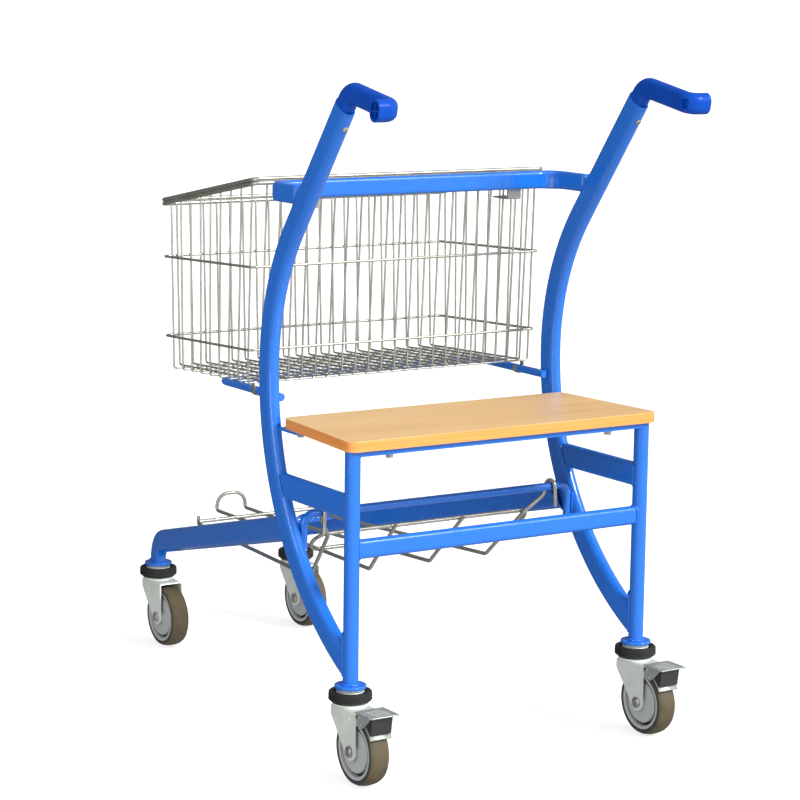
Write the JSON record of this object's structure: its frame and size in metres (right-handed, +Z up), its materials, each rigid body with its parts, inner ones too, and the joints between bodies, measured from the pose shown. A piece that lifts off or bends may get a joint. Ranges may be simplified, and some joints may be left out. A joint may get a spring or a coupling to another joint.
{
  "type": "shopping cart",
  "caption": "Shopping cart with a bowed tube frame, a flat wooden seat, a wire basket, a tilting wire rack and swivel casters.",
  "frame": {"origin": "on the floor, midway between the two rear legs", "axes": "+Y towards the front of the cart, +Z up, +X to the right of the person pushing it"},
  "size_m": [0.56, 0.944, 0.9701],
  "materials": {
    "blue_paint": "gloss powder coat",
    "grip_plastic": "moulded plastic, satin gloss",
    "seat_wood": "lacquered beech laminate",
    "zinc_wire": "bright zinc plate",
    "zinc_sheet": "zinc-plated pressed sheet",
    "bolt_steel": "dull zinc plate",
    "hub_plastic": "grey moulded plastic",
    "tyre_rubber": "grey-brown rubber tread",
    "bumper_rubber": "black rubber",
    "brake_plastic": "black moulded plastic"
  },
  "bodies": {
    "frame": {"side_tube_left": "blue_paint", "side_tube_right": "blue_paint", "rear_leg_left": "blue_paint", "rear_leg_right": "blue_paint", "side_rail_left": "blue_paint", "side_rail_right": "blue_paint", "rear_crossbar": "blue_paint", "seat_rear_strip": "blue_paint", "seat_board": "seat_wood", "seat_tab_left": "blue_paint", "seat_tab_right": "blue_paint", "seat_bolts": "bolt_steel", "basket_bar": "blue_paint", "basket_support_rod": "blue_paint", "rack_hanger_rail": "blue_paint", "front_arm_left": "blue_paint", "front_arm_right": "blue_paint", "rack_rest_rod": "blue_paint", "grip_left": "grip_plastic", "grip_right": "grip_plastic", "grip_screws": "bolt_steel", "basket_rim": "zinc_wire", "basket_upper_band": "zinc_wire", "basket_lower_band": "zinc_wire", "basket_wall_rear": "zinc_wire", "basket_wall_front": "zinc_wire", "basket_wall_left": "zinc_wire", "basket_wall_right": "zinc_wire", "basket_floor": "zinc_wire", "basket_bar_clips": "zinc_wire", "basket_rod_straps": "zinc_wire", "caster_plates": "blue_paint", "caster_collars": "zinc_sheet", "caster_bumpers": "bumper_rubber"},
    "rack": {"rack_outer_wire_left": "zinc_wire", "rack_outer_wire_right": "zinc_wire", "rack_inner_wire": "zinc_wire", "rack_back_loop": "zinc_wire", "rack_front_wire": "zinc_wire"},
    "swivel_rear_left": {"fork_rear_left": "zinc_sheet", "axle_rear_left": "bolt_steel"},
    "wheel_rear_left": {"hub_rear_left": "hub_plastic", "tyre_rear_left": "tyre_rubber"},
    "brake_rear_left": {"brake_pedal_rear_left": "zinc_sheet", "brake_shoe_rear_left": "brake_plastic"},
    "swivel_rear_right": {"fork_rear_right": "zinc_sheet", "axle_rear_right": "bolt_steel"},
    "wheel_rear_right": {"hub_rear_right": "hub_plastic", "tyre_rear_right": "tyre_rubber"},
    "brake_rear_right": {"brake_pedal_rear_right": "zinc_sheet", "brake_shoe_rear_right": "brake_plastic"},
    "swivel_front_left": {"fork_front_left": "zinc_sheet", "axle_front_left": "bolt_steel"},
    "wheel_front_left": {"hub_front_left": "hub_plastic", "tyre_front_left": "tyre_rubber"},
    "swivel_front_right": {"fork_front_right": "zinc_sheet", "axle_front_right": "bolt_steel"},
    "wheel_front_right": {"hub_front_right": "hub_plastic", "tyre_front_right": "tyre_rubber"}
  },
  "joints": [
    {"name": "rack_tilt", "type": "hinge", "parent": "frame", "child": "rack", "pos_m": [0, 0.16, 0.346], "axis": [1, 0, 0], "range_deg": [0, 25]},
    {"name": "swivel_turn_rear_left", "type": "hinge", "parent": "frame", "child": "swivel_rear_left", "pos_m": [-0.2495, 0, 0.115], "axis": [0, 0, 1], "continuous": true},
    {"name": "wheel_spin_rear_left", "type": "hinge", "parent": "swivel_rear_left", "child": "wheel_rear_left", "pos_m": [-0.2495, -0.034, 0.05], "axis": [1, 0, 0], "continuous": true},
    {"name": "brake_press_rear_left", "type": "hinge", "parent": "swivel_rear_left", "child": "brake_rear_left", "pos_m": [-0.2495, -0.031, 0.0965], "axis": [1, 0, 0], "range_deg": [0, 5], "stiffness_Nm_per_rad": 4},
    {"name": "swivel_turn_rear_right", "type": "hinge", "parent": "frame", "child": "swivel_rear_right", "pos_m": [0.2495, 0, 0.115], "axis": [0, 0, 1], "continuous": true},
    {"name": "wheel_spin_rear_right", "type": "hinge", "parent": "swivel_rear_right", "child": "wheel_rear_right", "pos_m": [0.2495, -0.034, 0.05], "axis": [1, 0, 0], "continuous": true},
    {"name": "brake_press_rear_right", "type": "hinge", "parent": "swivel_rear_right", "child": "brake_rear_right", "pos_m": [0.2495, -0.031, 0.0965], "axis": [1, 0, 0], "range_deg": [0, 5], "stiffness_Nm_per_rad": 4},
    {"name": "swivel_turn_front_left", "type": "hinge", "parent": "frame", "child": "swivel_front_left", "pos_m": [-0.133, 0.81, 0.115], "axis": [0, 0, 1], "continuous": true},
    {"name": "wheel_spin_front_left", "type": "hinge", "parent": "swivel_front_left", "child": "wheel_front_left", "pos_m": [-0.133, 0.776, 0.05], "axis": [1, 0, 0], "continuous": true},
    {"name": "swivel_turn_front_right", "type": "hinge", "parent": "frame", "child": "swivel_front_right", "pos_m": [0.133, 0.81, 0.115], "axis": [0, 0, 1], "continuous": true},
    {"name": "wheel_spin_front_right", "type": "hinge", "parent": "swivel_front_right", "child": "wheel_front_right", "pos_m": [0.133, 0.776, 0.05], "axis": [1, 0, 0], "continuous": true}
  ]
}
